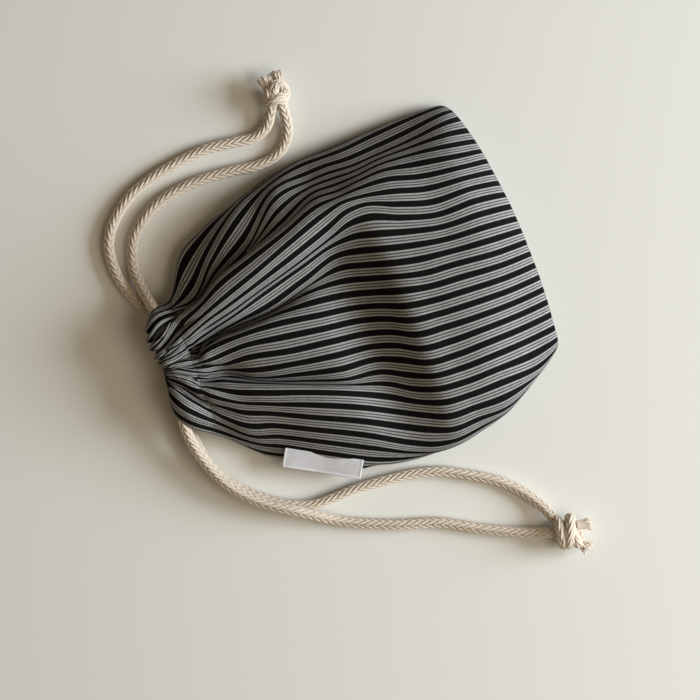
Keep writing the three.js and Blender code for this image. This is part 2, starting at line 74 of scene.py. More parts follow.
# v is the place along the flat cloth, measured from the mouth edge. The first three are the turned hem.
FRONT_SECTIONS = [
    {"v": -19, "x": 13,
     "y": [-24, -20, -15, -12, -10.5, -9, -7.5, -6, -4, -2, -1, 0,
           1, 2, 3.5, 5, 7, 9.5, 11, 12.5, 15, 17.5, 20],
     "z": [14, 14.5, 15, 15.3] + [15.5] * 15 + [15.3, 15, 14.5, 14]},
    {"v": -11, "x": 5,
     "y": [-18, -13.5, -9.5, -7, -6, -5, -4.2, -3.4, -2.2, -1, -0.2, 0.6,
           1.2, 2, 3.2, 4.4, 6, 9, 11, 13, 16, 19, 21.5],
     "z": [15, 15.5] + [16] * 19 + [15.5, 15]},
    {"v": -3.5,
     "x": [-2.2, 0.2, 1.4, 1.8, 2, 2, 1.9, 1.8, 1.7, 1.6, 1.4, 1.2,
           1, 0.8, 0.5, 0.3, 0.2, -0.2, -0.3, -0.2, 0, 0.8, 2.2],
     "y": [-15, -9.6, -6.2, -4.4, -3.8, -3.2, -2.6, -2.1, -1.3, -0.4, 0.3, 1,
           1.6, 2.2, 3.1, 4.2, 5.8, 8.6, 10.5, 12.4, 16, 20, 23.5],
     "z": [16, 16.4, 17] + [17.4] * 18 + [16.8, 16]},
    {"v": 0,
     "x": [-4.2, -1.6, -0.2, 0.2, 0.4, 0.4, 0.3, 0.2, 0.1, 0, -0.2, -0.4,
           -0.6, -0.8, -1.1, -1.3, -1.4, -1.8, -1.9, -1.8, -1.4, -0.6, 0.8],
     "y": [-15.5, -10, -6.5, -4.6, -4, -3.4, -2.8, -2.2, -1.4, -0.4, 0.3, 1,
           1.6, 2.2, 3.2, 4.4, 6, 9, 11, 13, 17, 21.5, 25],
     "z": [18, 20.5, 19.5, 21, 21, 20.5, 21, 21, 21, 21, 21, 20.5,
           20, 20.5, 21, 21, 21, 21, 20.5, 20.5, 20, 19, 18]},
    {"v": 3.5,
     "x": [-4.6, 0, 1.6, 2, 2.2, 2.2, 2.2, 2.1, 2, 1.8, 1.6, 1.4,
           1.2, 1, 0.7, 0.5, 0.4, -0.2, -0.4, -0.4, -0.2, 0.6, 1.8],
     "y": [-23, -13, -8.5, -6, -5.2, -4.6, -3.9, -3.1, -2, -0.8, 0, 0.8,
           1.5, 2.3, 3.5, 4.8, 6.3, 9.5, 11.8, 14, 18.5, 23, 26.5],
     "z": [17, 23, 21, 24, 24, 23, 24, 24, 24, 24, 24, 23,
           22.5, 23, 24, 24, 24, 24, 23.5, 23.3, 22.5, 20.5, 17.5]},
    {"v": 10,
     "x": [-0.6, 4, 6.5, 6.5, 6, 5.8, 5.6, 5.5, 5.4, 5.3, 5.2, 5.1] + [5] * 11,
     "y": [-31, -20.5, -13.5, -9, -8, -7.2, -6.2, -5, -3.5, -1.8, -0.8, 0.2,
           1.2, 2.2, 4, 5.6, 7.4, 12, 14.5, 17.5, 22, 26, 29],
     "z": [17, 23.5, 20.5, 25.5, 24, 22.5, 24, 25, 24, 25, 24, 23,
           22, 23, 25, 25.5, 24.5, 25, 24, 24.5, 23.5, 21.5, 18]},
    {"v": 19,
     "x": [9.5, 13.5, 13.2, 12.8, 13.5] + [14] * 18,
     "y": [-39.5, -31.5, -21.5, -15.5, -14, -12.5, -11, -9, -6, -3, -1, 0.8,
           2.2, 3.5, 6, 8.5, 12, 18.5, 20, 21, 23, 25.5, 31],
     "z": [11, 16.5, 21.5, 24, 20.5, 20, 21, 22.5, 23, 23.5, 22.5, 20,
           17.5, 18.5, 22.5, 25, 26.5, 25, 22.5, 21, 21, 19.5, 12]},
    {"v": 30, "x": 25,
     "y": [-52, -43.5, -30.2, -25.6, -19.7, -16, -13.5, -12, -9, -2.2, 2.5, 4,
           4.5, 5.2, 7.8, 11.5, 15.8, 22, 22.5, 23, 24, 28, 48],
     "z": [8, 16, 22.5, 23.5, 23, 18.5, 15.5, 17, 21.5, 24.5, 23, 17.5,
           13.5, 15, 21.5, 27, 29.5, 28, 23, 20, 19, 20, 9]},
    {"v": 46, "x": 40,
     "y": [-61, -50, -37.5, -32.7, -26.2, -23.5, -22, -20, -10.6, -1.8, 2.9, 4,
           5, 6, 10.5, 14.5, 20.7, 30, 30.5, 31, 32.5, 42.5, 57],
     "z": [9, 17, 24, 26, 26, 20.5, 18.5, 22, 26, 27.5, 25.5, 19.5,
           16.5, 18, 24.5, 30, 33, 31.5, 26, 22, 21, 20.5, 8]},
    {"v": 67, "x": 60,
     "y": [-73, -60.5, -46.8, -40.3, -34.1, -32, -29.9, -25.1, -15.2, -4.2, 2.2, 5,
           6, 7.2, 16, 19.5, 27, 36, 37, 37.8, 42, 58, 63.5],
     "z": [10, 18, 26, 28, 28, 22, 22.5, 26, 28.5, 29, 27.5, 22,
           19, 19.5, 26, 32, 35.5, 33, 27, 24, 23.5, 20, 8]},
    {"v": 88, "x": 80,
     "y": [-84, -71.5, -56.2, -49, -42.5, -40, -35.8, -29.1, -18.3, -7.7, -0.8, 5.9,
           10, 12.3, 20.8, 25, 34, 41.3, 43, 48, 59.3, 66.5, 69.5],
     "z": [7, 16, 24.5, 27, 27.5, 24, 25.5, 27.5, 28, 27.5, 26.5, 24,
           21.5, 22, 27.5, 32.5, 36, 33.5, 30, 28, 23.5, 13, 6]},
    {"v": 109, "x": 100,
     "y": [-88.5, -83.2, -67.2, -59.7, -51.9, -45.4, -38.7, -31.9, -21.6, -11.1, -4.4, 3,
           10, 16.7, 25.4, 31.1, 40.4, 48, 51.5, 55, 61.5, 70.5, 72],
     "z": [6, 11, 17, 19.5, 21, 21.5, 21.5, 21.5, 21.5, 21, 20.5, 20.5,
           21, 22.5, 28, 32.5, 36, 32.5, 27, 22.5, 16.5, 10, 5]},
    {"v": 119.5, "x": 110,
     "y": [-89, -87.3, -72.6, -65.3, -58.5, -51.3, -43.8, -35.8, -25, -14.5, -7.6, -0.2,
           6.8, 14, 25.2, 34.6, 42.6, 47.5, 51, 54.5, 61.5, 70, 72.3],
     "z": [5, 11, 18.5, 22, 24.5, 25.5, 26, 26.5, 26.5, 26, 25.5, 25.5,
           26, 27.5, 31, 35, 36, 32, 27, 23, 17.5, 11, 5]},
    {"v": 130, "x": 120,
     "y": [-89, -88.5, -77.3, -69.9, -62.6, -55.5, -48.7, -41.3, -30.3, -19.1, -11.5, -3.4,
           3.3, 10.8, 22.4, 35, 42, 48.2, 51.2, 54, 60.3, 70, 72.5],
     "z": [5, 12, 21.5, 26.5, 30, 32, 33, 33.5, 34, 34, 33.5, 33,
           33, 33.5, 35, 36, 36, 32, 28, 25, 19, 11, 4.5]},
    {"v": 145.5, "x": 135,
     "y": [-86, -86.5, -78, -71.2, -64.4, -57.4, -50.5, -43.4, -32.3, -21.7, -14.6, -7.5,
           -0.5, 7, 17.8, 28.7, 38.8, 48, 52, 55, 60.7, 71.2, 72.3],
     "z": [5, 12, 21, 26, 30, 32, 33, 33.5, 34, 34, 34, 34,
           34, 34, 34.5, 35.5, 35.5, 31.5, 28, 25, 18, 8.5, 3.4]},
    {"v": 161, "x": 150,
     "y": [-82, -83, -78.5, -71.5, -64.3, -57.6, -50.6, -43.6, -33.4, -22.9, -16, -8.9,
           -2.1, 4.4, 14, 23.7, 34.2, 44, 50.4, 54.6, 61.6, 72, 71.4],
     "z": [5, 11, 19.5, 24.5, 28, 30.5, 32, 32.5, 33, 33, 33, 33,
           33, 33, 33, 33.5, 33.5, 31, 28, 24.5, 17, 7.5, 2.4]},
    {"v": 184, "x": 172,
     "y": [-69, -69.5, -70.5, -69.5, -64.5, -57.1, -50.4, -43.6, -33.8, -24, -17.5, -11.1,
           -4.5, 2.5, 12.6, 22.9, 31.7, 40.3, 46.4, 52.4, 63.9, 71.4, 69.6],
     "z": [4, 8, 13.5, 16.5, 18.5, 20.5, 21.5, 23, 24.5, 26.5, 27.5, 28.5,
           29.3, 30, 30.6, 31, 30.8, 29.5, 27.5, 24.5, 15.5, 6.5, 1.6]},
    {"v": 203,
     "x": [181, 182, 183.5, 184.3, 185, 185.7, 186.3, 187, 187.6, 188, 188, 188,
           188, 187.8, 187.4, 186.6, 185.6, 184.6, 183.8, 182.8, 179.6, 176.4, 174.2],
     "y": [-60, -61, -62, -62, -60.5, -55.8, -49.3, -42.7, -33, -23.5, -17.2, -11.2,
           -5, 1.2, 11, 20.7, 30, 39, 44.5, 50.5, 64, 70, 68.6],
     "z": [3, 5, 8, 9.2, 10.2, 11.2, 12, 13, 14, 15.5, 16.3, 17.2,
           18, 18.7, 19.4, 19.7, 19.4, 18.5, 17, 15, 9.5, 4, 1.2]},
    {"v": 220,
     "x": [180, 180.8, 182, 182.8, 183.5, 184.2, 184.8, 185.4, 186, 186.4, 186.5, 186.5,
           186.5, 186.4, 186, 185.2, 184.2, 183.2, 182.5, 181.5, 178.6, 175.6, 173.6],
     "y": [-59, -60, -60.5, -60, -58.5, -54.5, -48.5, -42, -32.5, -23.3, -17, -11.1,
           -5, 1.1, 10.8, 20.4, 29.6, 38.5, 44, 50, 63, 69, 67.8],
     "z": [0.6] * 23},
]
FRONT_COLUMNS = 172            # facets along the cloth
FRONT_ROWS = 246               # facets across it
BACK_ROWS = 110

STITCH_V = 19.0                # the casing's stitch line
STITCH_GROOVE = 0.8            # how deep it draws the cloth in
PLEATS = 11.5                  # pleats over the front of the casing
PLEAT_BASE = 0.62              # share of a pleat's height that lies under the lofted surface
CRUMPLE_HEIGHT = 0.5           # small creases in the casing
POCKET_DEPTH = 3.4             # hollow behind the stitch line, near the middle
LOBE_BULGE = 1.9               # the casing's end stands out over the lower cord
RAY_HEIGHT = 0.34              # creases that fan out from the casing
WAVE_HEIGHT = 0.3              # broad waves of the body's cloth
RIPPLE_HEIGHT = 0.12           # and fine ones
SEAM_OPEN_V = 13.0             # the side seams are open up to here, where the cords come out
BACK_EDGE_Z = 2.6              # height of the back panel's edge at those openings
BACK_LIFT = 0.45               # the back panel's middle line over the table
EDGE_RADIUS = 8.0              # how softly the back panel turns up to the side seams
EDGE_SHARE = 0.11              # share of its facets across that each of those turns takes
BACK_GATHERS = 9.5             # gathers of the back panel behind the casing
BACK_GATHER_HEIGHT = 2.6
BACK_FIRST_STRIPE = 28.0       # the back panel's stripes, counted on from the front's last
BACK_STRIPES = 30.0
SEAM_BELLY = 6.0               # it swells past the lower side seam beside the label
BELLY_FROM, BELLY_TO = 18.0, 92.0
BELLY_FADE = 18.0              # and comes and goes over this length

# How the cotton and the label are woven, in millimetres. A pair of numbers is a soft edge.
# The light lines lie on a stripe's middle and at twice GAP_MIDDLE from it, a dotted line between them.
STRIPE_EDGE = (1.72, 1.92)
GAP_MIDDLE = 0.66
GAP_EDGE = (0.25, 0.43)
COTTON_WEFT = 0.46             # spacing of the threads
COTTON_WARP = 0.38
RIBBON_WEFT = 0.42
RIBBON_WARP = 0.62

# Cord routes as in the solids, with their ends in the casing and the knots. Inside the casing each cord
# is a piece of its own round a ring, and stops short of the strands.
CASING_THICKNESS = 25.0
UPPER_CORD_X = 6.3
LOWER_CORD_X = -0.2
UPPER_RING = (-27.0, 24.0)
LOWER_RING = (-22.5, 19.5)
UPPER_OUTER_ROUTE = [
    (4.4, 23, 5.6), (1.4, 29.2, 5.9), (-1.4, 35, 5), (-4.6, 43, 3.7), (-6.6, 53, 3.1), (-5.2, 66.3, 3),
    (0.4, 75.7, 3), (12.8, 85.3, 3), (25.4, 90, 3), (41.1, 92.9, 3), (57.8, 94, 3),
    (71.3, 92.3, 3), (82.9, 90.6, 3), (90, 93.2, 3.8), (95.2, 99.4, 5.8), (98, 103.4, 7),
]
UPPER_INNER_ROUTE = [
    (6, 21, 18.6), (5.2, 27, 16.2), (4.3, 32.5, 13), (2.9, 41, 8), (2.5, 52, 3.8), (7.2, 64.4, 3),
    (14.2, 71.3, 3), (24.1, 77.1, 3), (37.7, 80.3, 3), (52.3, 80.6, 3), (66, 79.2, 3),
    (79.6, 77, 3), (89.4, 78, 3), (96.3, 83, 3), (99.9, 90, 3.8), (101, 98.4, 5.8), (101.4, 103, 7),
]
LOWER_OUTER_ROUTE = [
    (-0.4, -18, 16.5), (-1.1, -23.5, 16.2), (-1.9, -30, 14.8), (-2.1, -38, 12.8), (0.1, -50, 11),
    (5.4, -63.2, 9.8), (12.6, -73.4, 9.2), (22.6, -82.6, 8.8), (32.5, -89.3, 8.4), (42, -96, 6),
    (50.5, -101.8, 3.6), (59.3, -106.8, 3), (78.6, -115.3, 3), (98.4, -122.3, 3), (116.8, -132.8, 3),
    (135.6, -142.4, 3.6), (147.6, -146.9, 5.8), (151.8, -148.2, 7),
]
LOWER_INNER_ROUTE = [
    (-0.5, -17, 5.3), (-0.8, -23, 5.8), (-0.9, -30, 6), (-0.6, -38, 5.2), (0.8, -50.4, 4.4),
    (6.4, -62.4, 3.4), (13.6, -71.9, 3), (23.4, -80.7, 3), (32.8, -86.8, 3), (42, -90.4, 3), (52, -91, 3),
    (66.3, -91, 3), (80.8, -92.4, 3), (95.1, -94.6, 3), (108.1, -98.6, 3), (120.3, -105.3, 3),
    (132.1, -113.1, 3), (141, -121.9, 3), (147.6, -132, 3.8), (151.4, -141, 5.8), (153.4, -145.6, 7),
]
RUN_BEND = 5.0                 # how far a run's middle lies over and under the casing's middle
RUN_LEAD = 8.0                 # a run starts this far inside its ring's near end
RUN_INSET = 2.4                # the gathers push the lower cord in from the mouth edge
RUN_SQUEEZE = 0.8              # and press both cords where they hold them
CORD_SIDES = 48
CORD_STEP = 0.42               # along the cord
RUN_SIDES = 16
RUN_STEP = 1.0
BRAID_COLUMNS = 6
YARN_LENGTH = 3.0              # length of cord for one unit of the yarn's texture
GROOVE_SHADE = (0.40, 0.32, 0.25)  # painted shade of the cotton deep between two yarns, against its crown
KNOT_STRAND = 5.5              # thickness of the cord where it is pulled tight
TURN_STEPS = 64
# Each knot's turns of cord: middle, radii before turning, and degrees about X, Y and Z.
# X points the way of the tails. Each tail: where it leaves, its lean in degrees, length and flare.
UPPER_KNOT = {
    "at": (100.1, 106.6, 7.6), "turn": 82.0, "seed": 3,
    "turns": [
        {"middle": (-3.1, 0.4, -0.2), "radii": (4.1, 4.2), "turned": (0, 90, 10)},
        {"middle": (0.2, -2.3, 1.9), "radii": (3.9, 2.9), "turned": (24, -14, 6)},
        {"middle": (0.2, 2.9, -0.8), "radii": (4.0, 3.5), "turned": (90, 0, -16)},
    ],
    "tails": [
        {"middle": (2.2, 2.8, 0.8), "lean": 8, "length": 7.2, "flare": 4.3},
        {"middle": (3.8, -2.8, 0.2), "lean": -2, "length": 6.8, "flare": 2.7},
    ],
}
LOWER_KNOT = {
    "at": (155.5, -149.6, 7.6), "turn": -20.0, "seed": 8,
    "turns": [
        {"middle": (-3.9, -0.4, 0), "radii": (4.1, 6.0), "turned": (0, 90, 12)},
        {"middle": (0.4, 0.5, 0.6), "radii": (4.3, 6.6), "turned": (0, 90, -5)},
        {"middle": (3.6, -1.4, -0.6), "radii": (3.6, 5.2), "turned": (0, 70, 22)},
    ],
    "tails": [
        {"middle": (4.0, 3.4, 0.8), "lean": 4, "length": 7.0, "flare": 2.8},
        {"middle": (4.6, -4.6, -0.4), "lean": -36, "length": 7.0, "flare": 3.4},
    ],
}
TAIL_NECK = 2.1                # a tail's half width where it leaves the knot
TAIL_YARNS = 64
TAIL_STEPS = 9
TAIL_BEND = 0.55               # how far a yarn strays sideways by its end
TAIL_YARN_RADII = (0.4, 0.6)

STITCH_RADIUS = 0.22
STITCH_GAPS = (0.25, 0.35)      # left free before and after each stitch
STITCH_POINTS = 6
YARN_SIDES = 6
LABEL_NUDGE = (-0.6, 3.1, 0.6)  # the ribbon against its plate
LABEL_BORDER = 0.8              # its folded border
LABEL_FOLD_RISE = 0.22
LABEL_WAVES = (0.35, 0.12)
LABEL_CURL = 0.5

# The camera looks straight down. The photograph is turned against the pouch and centred here.
VIEW_CENTRE = (87.8, -25.6)
VIEW_TURN = 21.6
VIEW_WIDTH = 350.0
VIEW_HEIGHT = 1400.0
SENSOR = 36.0

# Lights, in metres and the frame's own axes: size, place and colour. The window is at the
# photograph's right, which is nearly the pouch's own +X.
WINDOW = (0.95, (1.71, -0.50, 0.72), (0.88, 0.965, 1.0))
CEILING = (0.8, (0.55, -0.60, 1.15), (1.0, 0.89, 0.69))
ROOM_COLOUR = (1.0, 0.76, 0.48)
TABLE_HALF = 2.5


def place(points):
    """Millimetres as drawn, moved to the frame and in metres."""
    return (np.asarray(points, dtype=float) + SHIFT) * MM


def smoothstep(value, start, end):
    t = np.clip((value - start) / (end - start), 0.0, 1.0)
    return t * t * (3 - 2 * t)


def spline(knots, values, at):
    """Smooth curve through values at uneven knots, along the first axis of values."""
    knots = np.asarray(knots, dtype=float)
    values = np.asarray(values, dtype=float)
    shape = [-1] + [1] * (values.ndim - 1)
    gaps = np.diff(knots)
    slopes = np.diff(values, axis=0) / gaps.reshape(shape)
    weight = (gaps[:-1] / (gaps[:-1] + gaps[1:])).reshape(shape)
    tangents = np.concatenate([slopes[:1], slopes[:-1] * (1 - weight) + slopes[1:] * weight, slopes[-1:]])
    i = np.clip(np.searchsorted(knots, at, side="right") - 1, 0, len(knots) - 2)
    h = gaps[i].reshape(shape)
    t = ((at - knots[i]) / gaps[i]).reshape(shape)
    return (
        (2 * t**3 - 3 * t**2 + 1) * values[i]
        + (t**3 - 2 * t**2 + t) * h * tangents[i]
        + (-2 * t**3 + 3 * t**2) * values[i + 1]
        + (t**3 - t**2) * h * tangents[i + 1]
    )


def ripple(s, v, seed, scale_s, scale_v, waves=7):
    """Soft seeded unevenness between about -1 and 1, stretched by the two scales."""
    draw = np.random.default_rng(seed)
    total = np.zeros(np.broadcast(s, v).shape)
    for _ in range(waves):
        fs, fv = draw.normal(size=2)
        total = total + np.sin(fs * s / scale_s + fv * v / scale_v + draw.uniform(0, 2 * np.pi))
    return total / waves * 1.8


def new_object(name, mesh):
    obj = bpy.data.objects.new(name, mesh)
    bpy.context.scene.collection.objects.link(obj)
    mesh.shade_smooth()
    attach(obj, BODY)
    return obj


def grid_mesh(name, columns, rows):
    """A grid of facets and, for each vertex, its place from 0 to 1 along and across."""
    bm = bmesh.new()
    bmesh.ops.create_grid(bm, x_segments=columns, y_segments=rows, size=0.5)
    mesh = bpy.data.meshes.new(name)
    bm.to_mesh(mesh)
    bm.free()
    co = np.empty(len(mesh.vertices) * 3)
    mesh.vertices.foreach_get("co", co)
    co = co.reshape(-1, 3) + 0.5
    return mesh, np.clip(co[:, 0], 0, 1), np.clip(co[:, 1], 0, 1)


def set_points(mesh, points):
    mesh.vertices.foreach_set("co", np.asarray(points, dtype=float).ravel())
    mesh.update()


def set_uv(mesh, name, u, v):
    """Writes per-vertex values to the corners of a UV map."""
    layer = mesh.uv_layers.new(name=name)
    corners = np.empty(len(mesh.loops), dtype=np.int64)
    mesh.loops.foreach_get("vertex_index", corners)
    layer.data.foreach_set("uv", np.stack([u[corners], v[corners]], axis=1).ravel())


# Cloth

def section_table(key):
    rows = []
    for section in FRONT_SECTIONS:
        value = section[key]
        rows.append(value if isinstance(value, list) else [value] * len(STRIPES))
    return np.array(rows, dtype=float)


def front_surface(stripes, along, pleat_depth):
    """Points of the front panel over a grid of stripe numbers and places along the cloth."""
    knots = [section["v"] for section in FRONT_SECTIONS]
    surface = []
    for key in ("x", "y", "z"):
        across = spline(STRIPES, section_table(key).T, stripes).T
        surface.append(spline(knots, across, along))
    points = np.stack(surface, axis=-1)
    d_along = np.gradient(points, axis=0)
    d_across = np.gradient(points, axis=1)
    normal = np.cross(d_along, d_across)
    normal /= np.linalg.norm(normal, axis=-1, keepdims=True) + 1e-9
    return points + normal * front_relief(stripes[None, :], along[:, None], pleat_depth)[..., None]


def front_relief(s, v, pleat_depth):
    """How far the folds stand off the lofted surface, along its normal."""
    share = (s - STRIPES[0]) / (STRIPES[-1] - STRIPES[0])
    ends = np.minimum(1, np.minimum(9 * share, 9 * (1 - share)))
    phase = np.pi * (PLEATS * share + 0.42 * ripple(s, v, 11, 3.2, 22.0))
    plump = np.abs(np.sin(phase)) ** 0.5 - PLEAT_BASE
    uneven = 1 + 0.45 * ripple(s, v, 17, 2.4, 40.0)
    gathered = smoothstep(v, -22.0, -6.0) * (1 - smoothstep(v, STITCH_V - 2, STITCH_V + 20))
    hem_side = np.where(v < 0, -0.5, 1.0)
    height = pleat_depth * plump * uneven * gathered * hem_side * ends
    crumple = ripple(s, v, 47, 0.7, 3.2) * (v > -8)
    height += CRUMPLE_HEIGHT * crumple * gathered * ends
    height -= STITCH_GROOVE * np.exp(-(((v - STITCH_V) / 1.3) ** 2)) * ends
    pocket = smoothstep(s, 9.0, 11.0) * (1 - smoothstep(s, 13.5, 15.5))
    height -= POCKET_DEPTH * np.exp(-(((v - STITCH_V - 3.0) / 2.6) ** 2)) * pocket
    lobe = np.exp(-(((s + 1.0) / 0.7) ** 2)) * smoothstep(v, -1.0, 3.0) * (1 - smoothstep(v, 12.0, 24.0))
    height += LOBE_BULGE * lobe
    rays = ripple(s, v, 5, 0.55, 26.0) * smoothstep(v, 20.0, 34.0) * (1 - smoothstep(v, 60.0, 120.0))
    height += RAY_HEIGHT * rays * ends
    body = smoothstep(v, 24.0, 50.0) * (1 - smoothstep(v, 196.0, 206.0))
    height += WAVE_HEIGHT * ripple(s, v, 21, 2.2, 19.0) * body * ends
    height += RIPPLE_HEIGHT * ripple(s, v, 33, 0.7, 7.0) * body * ends
    return height


def front_grid(settings):
    """Places along the cloth and, for each, the front panel's points across it."""
    stripes = np.linspace(STRIPES[0], STRIPES[-1], FRONT_ROWS + 1)
    along = np.linspace(FRONT_SECTIONS[0]["v"], FRONT_SECTIONS[-1]["v"], FRONT_COLUMNS + 1)
    return along, front_surface(stripes, along, settings.pleat_depth / MM)


def pick(grid, along_share, across_share):
    """Reads a grid of points at each vertex's place."""
    rows = np.rint(along_share * (grid.shape[0] - 1)).astype(int)
    cols = np.rint(across_share * (grid.shape[1] - 1)).astype(int)
    return grid[rows, cols]


def solidify(obj, thickness):
    wall = obj.modifiers.new("Cloth thickness", "SOLIDIFY")
    wall.thickness = thickness
    wall.offset = -1
    wall.use_even_offset = False


def back_surface(side_low, side_high, foot, along):
    """Points of the back panel between the front panel's two side edges and its bottom edge."""
    n = BACK_ROWS + 1
    f = np.linspace(0, 1, n)
    turn = EDGE_SHARE
    points = np.zeros((len(along), n, 3))
    for r, v in enumerate(along):
        high, low = side_high[r].copy(), side_low[r].copy()
        open_seam = 1 - smoothstep(v, SEAM_OPEN_V - 3, STITCH_V)
        high[2] = high[2] * (1 - open_seam) + BACK_EDGE_Z * open_seam
        low[2] = low[2] * (1 - open_seam) + BACK_EDGE_Z * open_seam
        radius = EDGE_RADIUS * (1 - 0.6 * smoothstep(v, 185.0, 210.0)) * (1 - 0.4 * open_seam)
        belly = SEAM_BELLY * smoothstep(v, BELLY_FROM, BELLY_FROM + BELLY_FADE)
        belly *= 1 - smoothstep(v, BELLY_TO - BELLY_FADE, BELLY_TO)
        a_high = np.clip(f / turn, 0, 1) * np.pi / 2
        a_low = np.clip((1 - f) / turn, 0, 1) * np.pi / 2
        inner = np.clip((f - turn) / (1 - 2 * turn), 0, 1)
        y = (high[1] - radius) * (1 - inner) + (low[1] + radius) * inner
        y += radius * np.cos(a_high) * (f < turn) - radius * np.cos(a_low) * (f > 1 - turn)
        y -= belly * np.sin(np.clip((1 - f) / turn, 0, 1) * np.pi) * (f > 1 - turn)
        z = BACK_LIFT + (high[2] - BACK_LIFT) * (1 - np.sin(a_high))
        z += (low[2] - BACK_LIFT) * (1 - np.sin(a_low))
        points[r, :, 1] = y
        points[r, :, 2] = z
        # How far across each point lies, so that the end follows the front panel's bottom edge
        g = np.clip((high[1] - y) / (high[1] - low[1]), 0, 1)
        bow = smoothstep(v, 120.0, along[-1])
        points[r, :, 0] = high[0] * (1 - g) + low[0] * g
        points[r, :, 0] += bow * (foot(g) - (foot(0.0) * (1 - g) + foot(1.0) * g))
    gathered = 1 - smoothstep(along, STITCH_V, STITCH_V + 22)
    middle = np.clip(np.minimum(f, 1 - f) / turn - 1, 0, 1)
    uneven = 0.2 * ripple(f[None, :] * 9, along[:, None], 4, 1.0, 20)
    wave = 1 - np.abs(np.sin(np.pi * (BACK_GATHERS * f[None, :] + uneven)))
    points[:, :, 2] += BACK_GATHER_HEIGHT * wave * gathered[:, None] * middle[None, :]
    return points


# Materials

class Nodes:
    """Short names for building a material's nodes."""

    def __init__(self, name):
        self.material = bpy.data.materials.new(name)
        self.material.use_nodes = True
        self.tree = self.material.node_tree
        self.tree.nodes.clear()
        self.output = self.tree.nodes.new("ShaderNodeOutputMaterial")

    def node(self, kind, **values):
        node = self.tree.nodes.new(kind)
        for key, value in values.items():
            setattr(node, key, value)
        return node

    def feed(self, socket, value):
        if isinstance(value, bpy.types.NodeSocket):
            self.tree.links.new(value, socket)
        else:
            socket.default_value = value

    def math(self, operation, a, b=0.0):
        node = self.node("ShaderNodeMath", operation=operation)
        for socket, value in zip(node.inputs, (a, b)):
            self.feed(socket, value)
        return node.outputs[0]

    def mix(self, factor, a, b):
        node = self.node("ShaderNodeMix", data_type="RGBA")
        self.feed(node.inputs[0], factor)
        self.feed(node.inputs[6], a)
        self.feed(node.inputs[7], b)
        return node.outputs[2]

    def ramp(self, value, low, high):
        """0 below low and 1 above high, smoothly."""
        node = self.node("ShaderNodeMapRange", interpolation_type="SMOOTHSTEP")
        self.feed(node.inputs["Value"], value)
        node.inputs["From Min"].default_value = low
        node.inputs["From Max"].default_value = high
        return node.outputs[0]

    def noise(self, vector, scale, detail):
        node = self.node("ShaderNodeTexNoise")
        self.feed(node.inputs["Vector"], vector)
        node.inputs["Scale"].default_value = scale
        node.inputs["Detail"].default_value = detail
        return node.outputs["Fac"]

    def uv(self, name):
        """A UV map's vector and its two values."""
        node = self.node("ShaderNodeUVMap", uv_map=name)
        split = self.node("ShaderNodeSeparateXYZ")
        self.tree.links.new(node.outputs[0], split.inputs[0])
        return node.outputs[0], split.outputs[0], split.outputs[1]

    def object_coordinates(self):
        return self.node("ShaderNodeTexCoord").outputs["Object"]

    def bump(self, height, distance, strength):
        node = self.node("ShaderNodeBump")
        node.inputs["Strength"].default_value = strength
        node.inputs["Distance"].default_value = distance
        self.feed(node.inputs["Height"], height)
        return node.outputs[0]

    def shade(self, colour, roughness, normal=None, sheen=0.0, specular=0.3):
        shader = self.node("ShaderNodeBsdfPrincipled")
        self.feed(shader.inputs["Base Color"], colour)
        self.feed(shader.inputs["Roughness"], roughness)
        shader.inputs["Specular IOR Level"].default_value = specular
        shader.inputs["Sheen Weight"].default_value = sheen
        shader.inputs["Sheen Roughness"].default_value = 0.4
        if normal is not None:
            self.feed(shader.inputs["Normal"], normal)
        self.tree.links.new(shader.outputs[0], self.output.inputs[0])
        return self.material


def rgba(colour, share=1.0):
    """A colour for a socket, darker or lighter by a share, and at most white."""
    return (*(min(1.0, c * share) for c in colour), 1.0)


